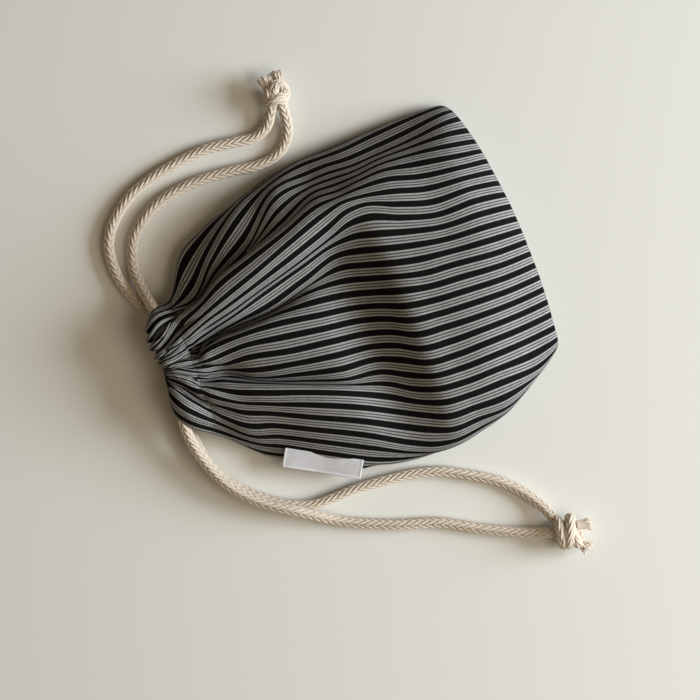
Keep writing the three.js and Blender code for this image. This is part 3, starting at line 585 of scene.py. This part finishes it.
def striped_cotton(settings):
    """Black cotton with pale stripes, each of three light lines with two dotted lines between them."""
    n = Nodes("Striped cotton")
    _, stripe, along = n.uv("Cloth")
    centred = n.math("SUBTRACT", n.math("FRACT", n.math("ADD", stripe, 20.5)), 0.5)
    off = n.math("MULTIPLY", n.math("ABSOLUTE", centred), STRIPE_PITCH)
    pale = n.math("SUBTRACT", 1.0, n.ramp(off, *STRIPE_EDGE))
    line = n.math("ABSOLUTE", n.math("SUBTRACT", off, GAP_MIDDLE))
    dotted = n.math("SUBTRACT", 1.0, n.ramp(line, *GAP_EDGE))
    dots = n.math("SINE", n.math("MULTIPLY", along, 2 * math.pi / settings.dot_pitch * MM))
    dot_mask = n.math("MULTIPLY", dotted, n.ramp(dots, -0.7, 0.7))
    threads = n.math("SINE", n.math("MULTIPLY", along, 2 * math.pi / COTTON_WEFT))
    ends = n.math("SINE", n.math("MULTIPLY", stripe, 2 * math.pi * STRIPE_PITCH / COTTON_WARP))
    weave = n.math("MULTIPLY", threads, ends)
    mottle = n.noise(n.object_coordinates(), 420.0, 3.0)
    light = n.mix(n.ramp(mottle, 0.3, 0.7), rgba(settings.stripe_colour, 0.82), rgba(settings.stripe_colour))
    shaded = n.math("MULTIPLY", n.ramp(weave, -1.0, 1.0), 0.3)
    light = n.mix(shaded, light, rgba(settings.stripe_colour, 0.55))
    striped = n.mix(n.math("MULTIPLY", dot_mask, 0.92), light, rgba(settings.dot_colour))
    striped = n.mix(n.math("MULTIPLY", dotted, 0.7), striped, rgba(settings.dot_colour))
    ground = n.mix(n.ramp(weave, -1.0, 1.0), rgba(settings.ground_colour), rgba(settings.ground_colour, 1.8))
    colour = n.mix(pale, ground, striped)
    height = n.math("ADD", n.math("MULTIPLY", weave, 0.25), n.math("MULTIPLY", pale, 0.8))
    height = n.math("SUBTRACT", height, n.math("MULTIPLY", dot_mask, 0.5))
    normal = n.bump(height, 0.00012, 0.7)
    roughness = n.math("ADD", 0.82, n.math("MULTIPLY", mottle, 0.12))
    return n.shade(colour, roughness, normal, sheen=0.01, specular=0.07)


def braided_cotton(settings):
    """Undyed cotton yarn. The fibres run along each yarn of the braid."""
    n = Nodes("Braided cotton")
    stretch = n.node("ShaderNodeMapping")
    stretch.inputs["Scale"].default_value = (9.0, 0.55, 1.0)
    n.feed(stretch.inputs["Vector"], n.uv("Yarn")[0])
    fibres = n.noise(stretch.outputs[0], 1.0, 3.0)
    spots = n.noise(n.object_coordinates(), 300.0, 3.0)
    colour = n.mix(n.ramp(spots, 0.3, 0.75), rgba(settings.cord_colour, 0.9), rgba(settings.cord_colour))
    shaded = n.math("MULTIPLY", n.ramp(fibres, 0.35, 0.7), 0.35)
    colour = n.mix(shaded, colour, rgba(settings.cord_colour, 0.62))
    # Painted shade: the cord's colour darkens into the grooves between the yarns, following the braid's
    # relief.
    relief = n.uv("Relief")[1]
    groove = [c * shade for c, shade in zip(settings.cord_colour, GROOVE_SHADE)]
    colour = n.mix(n.ramp(relief, 0.05, 0.75), rgba(groove), colour)
    normal = n.bump(fibres, 0.00025, 0.6)
    return n.shade(colour, 0.88, normal, sheen=0.08, specular=0.15)


def satin_ribbon(settings):
    """Pale satin label, bare, with fine weft lines across it."""
    n = Nodes("Satin ribbon")
    _, along, across = n.uv("Ribbon")
    weft = n.math("SINE", n.math("MULTIPLY", across, 2 * math.pi / RIBBON_WEFT))
    warp = n.math("SINE", n.math("MULTIPLY", along, 2 * math.pi / RIBBON_WARP))
    weave = n.math("MULTIPLY", weft, warp)
    cloudy = n.noise(n.object_coordinates(), 260.0, 3.0)
    colour = n.mix(n.ramp(cloudy, 0.3, 0.7), rgba(settings.ribbon_colour, 0.9), rgba(settings.ribbon_colour))
    shaded = n.math("MULTIPLY", n.ramp(weave, -1.0, 1.0), 0.16)
    colour = n.mix(shaded, colour, rgba(settings.ribbon_colour, 0.7))
    fold = n.uv("Fold")[1]
    colour = n.mix(n.math("MULTIPLY", fold, 0.75), colour, rgba(settings.ribbon_colour, 1.22))
    normal = n.bump(n.math("ADD", weave, n.math("MULTIPLY", cloudy, 1.2)), 0.00008, 0.6)
    return n.shade(colour, 0.42, normal, sheen=0.1, specular=0.45)


def sewing_thread(settings):
    """Dark twisted thread."""
    n = Nodes("Sewing thread")
    twist = n.noise(n.object_coordinates(), 2500.0, 1.0)
    colour = n.mix(twist, rgba(settings.thread_colour, 0.6), rgba(settings.thread_colour))
    return n.shade(colour, 0.6, n.bump(twist, 0.00005, 0.5), sheen=0.05)


# Braided cord

def cord_line(route, step):
    """Evenly spaced points on a smooth curve through the route, in millimetres."""
    points = np.array(route, dtype=float)
    gaps = np.linalg.norm(np.diff(points, axis=0), axis=1) ** 0.5
    knots = np.concatenate([[0], np.cumsum(gaps)])
    fine = spline(knots, points, np.linspace(0, knots[-1], 40 * len(points)))
    run = np.concatenate([[0], np.cumsum(np.linalg.norm(np.diff(fine, axis=0), axis=1))])
    count = max(8, int(round(run[-1] / step)))
    even = np.linspace(0, run[-1], count + 1)
    return np.stack([np.interp(even, run, fine[:, k]) for k in range(3)], axis=1), even


def ring_line(x, ring, turned):
    """The run of a cord inside the casing, from the front over the far end and along the back."""
    middle = CASING_THICKNESS / 2
    bend = RUN_BEND
    far, near = (ring[0], ring[1]) if turned else (ring[1], ring[0])
    way = -1 if turned else 1
    start = near + way * RUN_LEAD
    end = far - way * bend
    route = [(x, start + (end - start) * i / 3, middle + bend) for i in range(4)]
    for i in range(1, 4):
        a = math.pi * i / 4
        route.append((x, end + way * bend * math.sin(a), middle + bend * math.cos(a)))
    route += [(x, start + (end - start) * i / 3, middle - bend) for i in range(3, -1, -1)]
    return route


def frames_along(line, closed=False):
    """Two vectors square to the line at each of its points, turning as little as possible."""
    tangent = np.gradient(line, axis=0)
    if closed:
        tangent = np.roll(line, -1, axis=0) - np.roll(line, 1, axis=0)
    tangent /= np.linalg.norm(tangent, axis=1, keepdims=True)
    side = np.zeros_like(line)
    first = np.cross(tangent[0], [0.0, 0.0, 1.0])
    if np.linalg.norm(first) < 0.1:
        first = np.cross(tangent[0], [0.0, 1.0, 0.0])
    side[0] = first / np.linalg.norm(first)
    for i in range(1, len(line)):
        carried = side[i - 1] - tangent[i] * np.dot(side[i - 1], tangent[i])
        side[i] = carried / np.linalg.norm(carried)
    return side, np.cross(tangent, side)


def braid_relief(angle, run, settings):
    """Height of the braid over its core, 0 to 1, with each yarn's own two coordinates.

    Round the cord lie columns of yarns that lean one way and the other in turn.
    """
    column = angle / (2 * np.pi / BRAID_COLUMNS)
    sector = np.floor(column + 1e-6)
    local = column - sector - 0.5
    lean = np.where(sector % 2 == 0, 1.0, -1.0)
    pitch = settings.braid_pitch / MM
    cycle = run / pitch + lean * local * settings.braid_lean + 0.5 * (sector % 2)
    across = cycle - np.floor(cycle) - 0.5
    crown = np.sqrt(np.clip(1 - (2 * across) ** 2, 0, 1))
    tuck = np.sqrt(np.clip(1 - (1.7 * local) ** 2, 0, 1))
    return crown * (0.35 + 0.65 * tuck), across, local


def braided_tube(name, line, run, radius, settings, closed=False, sides=CORD_SIDES):
    """Mesh of a braided cord of that radius along a line in millimetres."""
    rings = len(line)
    last = rings if closed else rings - 1
    mesh, along, around = grid_mesh(name, last, sides)
    ring = np.rint(along * last).astype(int)
    corner = np.rint(around * sides).astype(int)
    at = ring % rings
    angle = 2 * np.pi * (corner % sides) / sides
    side, up = frames_along(line, closed)
    run_here = run[at]
    drawn = angle
    if closed:
        length = run[-1] + np.linalg.norm(line[0] - line[-1])
        pitch = settings.braid_pitch / MM
        whole = max(1, round(length / pitch)) * pitch
        run_here = np.where(ring >= rings, length, run_here) * whole / length
        drawn = angle + frame_twist(line, side, up) * ring / rings
    relief, across, local = braid_relief(angle, run_here, settings)
    depth = settings.braid_depth / MM
    reach = radius - depth * (1 - relief)
    outward = np.cos(drawn)[:, None] * side[at] + np.sin(drawn)[:, None] * up[at]
    set_points(mesh, place(line[at] + reach[:, None] * outward))
    set_uv(mesh, "Yarn", across, run_here / YARN_LENGTH + local)
    set_uv(mesh, "Relief", relief, relief)
    close_tube(mesh)
    return mesh


def frame_twist(line, side, up):
    """Angle by which the carried frame misses itself once round a closed line."""
    tangent = line[0] - line[-1]
    tangent = tangent / np.linalg.norm(tangent)
    carried = side[-1] - tangent * np.dot(side[-1], tangent)
    return math.atan2(np.dot(side[0], up[-1]), np.dot(side[0], carried))


def close_tube(mesh):
    """Joins a wrapped grid's edges, closes its ends and turns its faces out."""
    bm = bmesh.new()
    bm.from_mesh(mesh)
    bmesh.ops.remove_doubles(bm, verts=bm.verts, dist=0.00001)
    edges = [e for e in bm.edges if e.is_boundary]
    if edges:
        bmesh.ops.holes_fill(bm, edges=edges, sides=0)
    bmesh.ops.recalc_face_normals(bm, faces=bm.faces)
    bm.to_mesh(mesh)
    bm.free()


def yarn_mesh(name, paths, radii):
    """Thin tapering yarns, each a closed tube along its own path in millimetres."""
    bm = bmesh.new()
    for path, radius in zip(paths, radii):
        side, up = frames_along(path)
        rings = []
        for k, point in enumerate(path):
            shrink = 1 - 0.6 * k / (len(path) - 1)
            circle = bmesh.ops.create_circle(bm, cap_ends=False, segments=YARN_SIDES, radius=1.0)["verts"]
            for j, vert in enumerate(circle):
                a = 2 * math.pi * j / YARN_SIDES
                offset = radius * shrink * (math.cos(a) * side[k] + math.sin(a) * up[k])
                vert.co = Vector(place(point + offset))
            rings.append(circle)
        for low, high in zip(rings, rings[1:]):
            for j in range(YARN_SIDES):
                k = (j + 1) % YARN_SIDES
                bm.faces.new((low[j], low[k], high[k], high[j]))
        bm.faces.new(list(reversed(rings[0])))
        bm.faces.new(rings[-1])
    loose = [e for e in bm.edges if not e.link_faces]
    bmesh.ops.delete(bm, geom=loose, context="EDGES")
    bmesh.ops.recalc_face_normals(bm, faces=bm.faces)
    mesh = bpy.data.meshes.new(name)
    bm.to_mesh(mesh)
    bm.free()
    crown = np.ones(len(mesh.vertices))
    set_uv(mesh, "Yarn", crown * 0, crown * 0)
    set_uv(mesh, "Relief", crown * 0.8, crown)
    return mesh


def merge_meshes(name, meshes):
    """One mesh out of several, which are then gone."""
    bm = bmesh.new()
    for mesh in meshes:
        bm.from_mesh(mesh)
    whole = bpy.data.meshes.new(name)
    bm.to_mesh(whole)
    bm.free()
    for mesh in meshes:
        bpy.data.meshes.remove(mesh)
    return whole


# Settings

class PouchClothSettings(bpy.types.PropertyGroup):
    cloth_thickness: FloatProperty(
        name="Cloth thickness", description="Thickness of the cotton", default=0.5 * MM, unit="LENGTH")
    pleat_depth: FloatProperty(
        name="Pleat depth", description="Height of the casing's pleats", default=3.9 * MM, unit="LENGTH")
    dot_pitch: FloatProperty(
        name="Dot pitch", description="Spacing of the dots in the dotted lines", default=1.15 * MM,
        unit="LENGTH")
    ground_colour: FloatVectorProperty(
        name="Ground", description="Colour of the black ground", subtype="COLOR",
        default=(0.004, 0.004, 0.0044))
    stripe_colour: FloatVectorProperty(
        name="Stripes", description="Colour of the light lines", subtype="COLOR", default=(0.40, 0.40, 0.405))
    dot_colour: FloatVectorProperty(
        name="Dots", description="Colour of the dark dots in the stripes", subtype="COLOR",
        default=(0.03, 0.03, 0.032))
    thread_colour: FloatVectorProperty(
        name="Thread", description="Colour of the sewing thread", subtype="COLOR", default=(0.03, 0.03, 0.03))
    stitch_length: FloatProperty(
        name="Stitch length", description="Length of one stitch", default=2.3 * MM, unit="LENGTH")


class PouchCordSettings(bpy.types.PropertyGroup):
    diameter: FloatProperty(
        name="Diameter", description="Thickness of the braided cord", default=5.8 * MM, unit="LENGTH")
    braid_pitch: FloatProperty(
        name="Braid pitch", description="Distance from one yarn to the next", default=3.8 * MM, unit="LENGTH")
    braid_lean: FloatProperty(
        name="Braid lean", description="Share of the pitch that a yarn climbs in its column", default=1.4)
    braid_depth: FloatProperty(
        name="Braid depth", description="Depth of the grooves between the yarns", default=1.15 * MM,
        unit="LENGTH")
    cord_colour: FloatVectorProperty(
        name="Cord", description="Colour of the cotton cord", subtype="COLOR", default=(0.79, 0.69, 0.595))


class PouchLabelSettings(bpy.types.PropertyGroup):
    ribbon_thickness: FloatProperty(
        name="Ribbon thickness", description="Thickness of the folded ribbon", default=0.5 * MM,
        unit="LENGTH")
    ribbon_colour: FloatVectorProperty(
        name="Ribbon", description="Colour of the satin", subtype="COLOR", default=(0.70, 0.70, 0.76))


class PouchStageSettings(bpy.types.PropertyGroup):
    floor_colour: FloatVectorProperty(
        name="Floor", description="Colour of the table", subtype="COLOR", default=(0.80, 0.795, 0.775))
    key_power: FloatProperty(name="Key light", description="Power of the window light", default=55.0)
    sky_power: FloatProperty(name="Sky light", description="Power of the soft light overhead", default=6.0)
    fill_strength: FloatProperty(name="Fill light", description="Strength of the world", default=0.15)


def settings():
    return bpy.context.scene.striped_pouch


class PouchSettings(bpy.types.PropertyGroup):
    cloth: PointerProperty(type=PouchClothSettings)
    cord: PointerProperty(type=PouchCordSettings)
    label: PointerProperty(type=PouchLabelSettings)
    stage: PointerProperty(type=PouchStageSettings)


# Operators

class POUCH_OT_cloth(bpy.types.Operator):
    """Lofts the front and back panels and gives them their striped cotton"""
    bl_idname = "pouch.cloth"
    bl_label = "Cloth"

    def execute(self, context):
        cloth = settings().cloth
        cotton = striped_cotton(cloth)
        along, grid = front_grid(cloth)
        front = self.front_panel(grid)
        back = self.back_panel(grid, along)
        for piece in (front, back):
            piece.data.materials.append(cotton)
            solidify(piece, cloth.cloth_thickness)
            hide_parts("pouch_cloth")
        return {"FINISHED"}

    def front_panel(self, grid):
        mesh, along, across = grid_mesh("front_panel", FRONT_COLUMNS, FRONT_ROWS)
        set_points(mesh, place(pick(grid, along, across)))
        v = FRONT_SECTIONS[0]["v"] + along * (FRONT_SECTIONS[-1]["v"] - FRONT_SECTIONS[0]["v"])
        set_uv(mesh, "Cloth", STRIPES[0] + across * (STRIPES[-1] - STRIPES[0]), v)
        return new_object("front_panel", mesh)

    def back_panel(self, grid, along):
        keep = along >= 0
        side_low = grid[keep][:, 0]
        side_high = grid[keep][:, -1]
        foot_y = grid[-1][:, 1]
        foot_x = grid[-1][:, 0]
        share = (foot_y[-1] - foot_y) / (foot_y[-1] - foot_y[0])
        order = np.argsort(share)

        def foot(f):
            return np.interp(f, share[order], foot_x[order])

        surface = back_surface(side_low, side_high, foot, along[keep])
        mesh, u, w = grid_mesh("back_panel", surface.shape[0] - 1, BACK_ROWS)
        set_points(mesh, place(pick(surface, u, w)))
        v = along[keep][0] + u * (along[-1] - along[keep][0])
        set_uv(mesh, "Cloth", BACK_FIRST_STRIPE + w * BACK_STRIPES, v)
        return new_object("back_panel", mesh)


class POUCH_OT_stitches(bpy.types.Operator):
    """Lays the row of stitches that closes the casing"""
    bl_idname = "pouch.stitches"
    bl_label = "Casing stitches"

    def execute(self, context):
        cloth = settings().cloth
        stripes = np.linspace(STRIPES[0] + 0.4, STRIPES[-1] - 0.4, 1200)
        along = np.array([STITCH_V - 0.4, STITCH_V, STITCH_V + 0.4])
        line = front_surface(stripes, along, cloth.pleat_depth / MM)[1]
        run = np.concatenate([[0], np.cumsum(np.linalg.norm(np.diff(line, axis=0), axis=1))])
        stitch = cloth.stitch_length / MM
        paths = []
        for k in range(int(run[-1] / stitch)):
            at = np.linspace(k * stitch + STITCH_GAPS[0], (k + 1) * stitch - STITCH_GAPS[1], STITCH_POINTS)
            path = np.stack([np.interp(at, run, line[:, i]) for i in range(3)], axis=1)
            path[:, 2] += STITCH_RADIUS * np.sin(np.linspace(0, np.pi, STITCH_POINTS)) + 0.02
            paths.append(path)
        mesh = yarn_mesh("casing_stitches", paths, [STITCH_RADIUS] * len(paths))
        obj = new_object("casing_stitches", mesh)
        mesh.materials.append(sewing_thread(cloth))
        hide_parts("pouch_cloth")
        return {"FINISHED"}


class POUCH_OT_label(bpy.types.Operator):
    """Makes the bare satin label in the side seam"""
    bl_idname = "pouch.label"
    bl_label = "Woven label"

    def execute(self, context):
        label = settings().label
        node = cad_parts["side_label"]
        corners = np.array([v.co[:] for v in node.data.vertices])
        origin, along, out, up, length, width = self.seat(corners)
        mesh, u, w = grid_mesh("woven_label", 80, 24)
        x = u * length
        y = w * width
        border = LABEL_BORDER * MM
        edge = np.minimum(np.minimum(x, length - x), width - y)
        rise = LABEL_FOLD_RISE * MM * (1 - smoothstep(edge, border, border * 1.4))
        wave = LABEL_WAVES[0] * MM * np.sin(2 * np.pi * u * 1.3 + 0.6) * w
        wave += LABEL_WAVES[1] * MM * np.sin(9 * u + 3 * w)
        curl = -LABEL_CURL * MM * w**2
        set_points(mesh, origin + np.outer(x, along) + np.outer(y, out) + np.outer(rise + wave + curl, up))
        set_uv(mesh, "Ribbon", x / MM, y / MM)
        folded = 1 - smoothstep(edge, border * 0.8, border * 1.2)
        set_uv(mesh, "Fold", folded, folded)
        obj = new_object("woven_label", mesh)
        if mesh.polygons[0].normal.z < 0:
            mesh.flip_normals()
        mesh.materials.append(satin_ribbon(label))
        solidify(obj, label.ribbon_thickness)
        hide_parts("side_label")
        return {"FINISHED"}

    def seat(self, corners):
        """Where the label's plate lies: its inner corner, its three directions and its size."""
        low = corners.min(axis=0)
        high = corners.max(axis=0)
        left = corners[corners[:, 0] < low[0] + 0.0002]
        top = corners[corners[:, 1] > high[1] - 0.0006]
        right = corners[corners[:, 0] > high[0] - 0.0002]
        inner_start = top[np.argmax(top[:, 2])]
        inner_end = right[np.argmax(right[:, 2])]
        outer_start = left[np.argmax(left[:, 2])]
        along = inner_end - inner_start
        length = float(np.linalg.norm(along))
        along = along / length
        out = outer_start - inner_start
        width = float(np.linalg.norm(out))
        out = out / width
        up = np.cross(out, along)
        inner_start = inner_start + np.array(LABEL_NUDGE) * MM
        return inner_start, along, out, up * np.sign(up[2]), length, width


class POUCH_OT_cords(bpy.types.Operator):
    """Braids both drawcords, their free strands and the runs inside the casing"""
    bl_idname = "pouch.cords"
    bl_label = "Drawcords"

    def execute(self, context):
        cord = settings().cord
        cotton = bpy.data.materials["Braided cotton"]
        strands = [
            ("upper_outer", UPPER_OUTER_ROUTE, "drawcord_upper", "knot_upper"),
            ("upper_inner", UPPER_INNER_ROUTE, "drawcord_upper", "knot_upper"),
            ("lower_outer", LOWER_OUTER_ROUTE, "drawcord_lower", "knot_lower"),
            ("lower_inner", LOWER_INNER_ROUTE, "drawcord_lower", "knot_lower"),
        ]
        radius = cord.diameter / MM / 2
        for name, route, node, knot in strands:
            line, run = cord_line(route, CORD_STEP)
            mesh = braided_tube(f"strand_{name}", line, run, radius, cord)
            obj = new_object(f"strand_{name}", mesh)
            mesh.materials.append(cotton)
            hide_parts(node)
        for name, x, ring, turned, node in (
            ("run_upper", UPPER_CORD_X, UPPER_RING, True, "drawcord_upper"),
            ("run_lower", LOWER_CORD_X + RUN_INSET, LOWER_RING, False, "drawcord_lower"),
        ):
            line, run = cord_line(ring_line(x, ring, turned), RUN_STEP)
            mesh = braided_tube(name, line, run, radius * RUN_SQUEEZE, cord, sides=RUN_SIDES)
            obj = new_object(name, mesh)
            mesh.materials.append(cotton)
            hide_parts(node)
        return {"FINISHED"}


class POUCH_OT_knots(bpy.types.Operator):
    """Ties the overhand knots and frays their tails"""
    bl_idname = "pouch.knots"
    bl_label = "Knots"

    def execute(self, context):
        cord = settings().cord
        cotton = braided_cotton(cord)
        for name, knot, node in (
            ("knot_upper", UPPER_KNOT, "drawcord_upper_knot"),
            ("knot_lower", LOWER_KNOT, "drawcord_lower_knot"),
        ):
            meshes = [self.turn_mesh(knot, turn, cord) for turn in knot["turns"]]
            meshes += [self.tail_mesh(knot, number) for number in range(len(knot["tails"]))]
            mesh = merge_meshes(name, meshes)
            obj = new_object(name, mesh)
            mesh.materials.append(cotton)
            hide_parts(node)
        return {"FINISHED"}

    def seat(self, knot):
        """Where a knot lies and which way its tails point."""
        return Matrix.Translation(knot["at"]) @ Matrix.Rotation(math.radians(knot["turn"]), 4, "Z")

    def moved(self, points, matrix):
        whole = np.array(matrix)
        return points @ whole[:3, :3].T + whole[:3, 3]

    def turned(self, degrees):
        about = [Matrix.Rotation(math.radians(d), 4, axis) for d, axis in zip(degrees, "XYZ")]
        return about[2] @ about[1] @ about[0]

    def turn_mesh(self, knot, turn, cord):
        """One closed oval turn of the cord, in its place in the knot."""
        a = np.linspace(0, 2 * np.pi, TURN_STEPS, endpoint=False)
        wide, high = turn["radii"]
        oval = np.stack([wide * np.cos(a), high * np.sin(a), 0 * a], axis=1)
        seat = self.seat(knot) @ Matrix.Translation(turn["middle"]) @ self.turned(turn["turned"])
        line = self.moved(oval, seat)
        steps = np.linalg.norm(np.diff(line, axis=0), axis=1)
        run = np.concatenate([[0], np.cumsum(steps)])
        return braided_tube("turn", line, run, KNOT_STRAND / 2, cord, closed=True)

    def tail_mesh(self, knot, number):
        """A frayed end: loose yarns that spread out from the knot."""
        tail = knot["tails"][number]
        draw = np.random.default_rng(knot["seed"] * 10 + number)
        seat = self.seat(knot) @ Matrix.Translation(tail["middle"]) @ self.turned((0, 0, tail["lean"]))
        paths, radii = [], []
        for _ in range(TAIL_YARNS):
            spread = math.sqrt(draw.uniform(0, 1))
            around = draw.uniform(0, 2 * math.pi)
            t = np.linspace(0, 1, TAIL_STEPS)
            flare = TAIL_NECK + (tail["flare"] - TAIL_NECK) * t**1.3
            bend = draw.normal(0, TAIL_BEND, size=2)
            x = t * tail["length"] * draw.uniform(0.78, 1.12)
            y = spread * flare * math.cos(around) + bend[0] * t**2
            z = spread * flare * math.sin(around) * 0.85 + bend[1] * t**2
            paths.append(self.moved(np.stack([x, y, z], axis=1), seat))
            radii.append(draw.uniform(*TAIL_YARN_RADII))
        return yarn_mesh("tail", paths, radii)


class POUCH_OT_stage(bpy.types.Operator):
    """Sets the floor, the lights and the camera"""
    bl_idname = "pouch.stage"
    bl_label = "Stage"

    def execute(self, context):
        stage = settings().stage
        self.floor(stage)
        self.lights(stage)
        self.camera(context)
        context.scene.view_settings.view_transform = "Standard"
        return {"FINISHED"}

    def floor(self, stage):
        bm = bmesh.new()
        bmesh.ops.create_grid(bm, x_segments=1, y_segments=1, size=TABLE_HALF)
        mesh = bpy.data.meshes.new("table")
        bm.to_mesh(mesh)
        bm.free()
        table = bpy.data.objects.new("table", mesh)
        bpy.context.scene.collection.objects.link(table)
        n = Nodes("Table")
        soft = n.noise(n.object_coordinates(), 9.0, 2.0)
        colour = n.mix(soft, rgba(stage.floor_colour, 0.99), rgba(stage.floor_colour))
        mesh.materials.append(n.shade(colour, 0.7, specular=0.2))

    def lights(self, stage):
        world = bpy.data.worlds.new("Soft room")
        world.use_nodes = True
        background = world.node_tree.nodes["Background"]
        background.inputs[0].default_value = rgba(ROOM_COLOUR)
        background.inputs[1].default_value = stage.fill_strength
        bpy.context.scene.world = world
        self.area("window", stage.key_power, *WINDOW)
        self.area("ceiling", stage.sky_power, *CEILING)

    def area(self, name, power, size, at, colour):
        """A square light that faces the pouch."""
        lamp = bpy.data.lights.new(name, "AREA")
        lamp.shape = "SQUARE"
        lamp.size = size
        lamp.energy = power
        lamp.color = colour
        obj = bpy.data.objects.new(name, lamp)
        obj.location = at
        obj.rotation_euler = Vector(at).to_track_quat("Z", "Y").to_euler()
        bpy.context.scene.collection.objects.link(obj)

    def camera(self, context):
        """A long lens straight above, turned as the photograph is."""
        lens = bpy.data.cameras.new("overhead")
        lens.sensor_width = SENSOR
        lens.sensor_fit = "HORIZONTAL"
        lens.lens = SENSOR * VIEW_HEIGHT / VIEW_WIDTH
        lens.clip_start = 0.01
        obj = bpy.data.objects.new("overhead", lens)
        centre = place((VIEW_CENTRE[0], VIEW_CENTRE[1], 0.0))
        obj.location = (centre[0], centre[1], VIEW_HEIGHT * MM)
        obj.rotation_euler = (0.0, 0.0, -math.radians(VIEW_TURN))
        context.scene.collection.objects.link(obj)
        context.scene.camera = obj


class POUCH_PT_panel(bpy.types.Panel):
    """Lists the pouch's pieces"""
    bl_idname = "POUCH_PT_panel"
    bl_label = "Drawstring pouch"
    bl_space_type = "VIEW_3D"
    bl_region_type = "UI"
    bl_category = "Pouch"

    def draw(self, context):
        for operator in OPERATORS:
            self.layout.operator(operator.bl_idname)


OPERATORS = (POUCH_OT_stage, POUCH_OT_knots, POUCH_OT_cords, POUCH_OT_cloth, POUCH_OT_stitches,
             POUCH_OT_label)
CLASSES = (PouchClothSettings, PouchCordSettings, PouchLabelSettings, PouchStageSettings, PouchSettings,
           *OPERATORS, POUCH_PT_panel)


def register():
    for cls in CLASSES:
        bpy.utils.register_class(cls)
    bpy.types.Scene.striped_pouch = PointerProperty(type=PouchSettings)


def unregister():
    del bpy.types.Scene.striped_pouch
    for cls in reversed(CLASSES):
        bpy.utils.unregister_class(cls)


def main():
    register()
    bpy.ops.pouch.stage()
    bpy.ops.pouch.knots()
    bpy.ops.pouch.cords()
    bpy.ops.pouch.cloth()
    bpy.ops.pouch.stitches()
    bpy.ops.pouch.label()


if __name__ == "__main__":
    main()
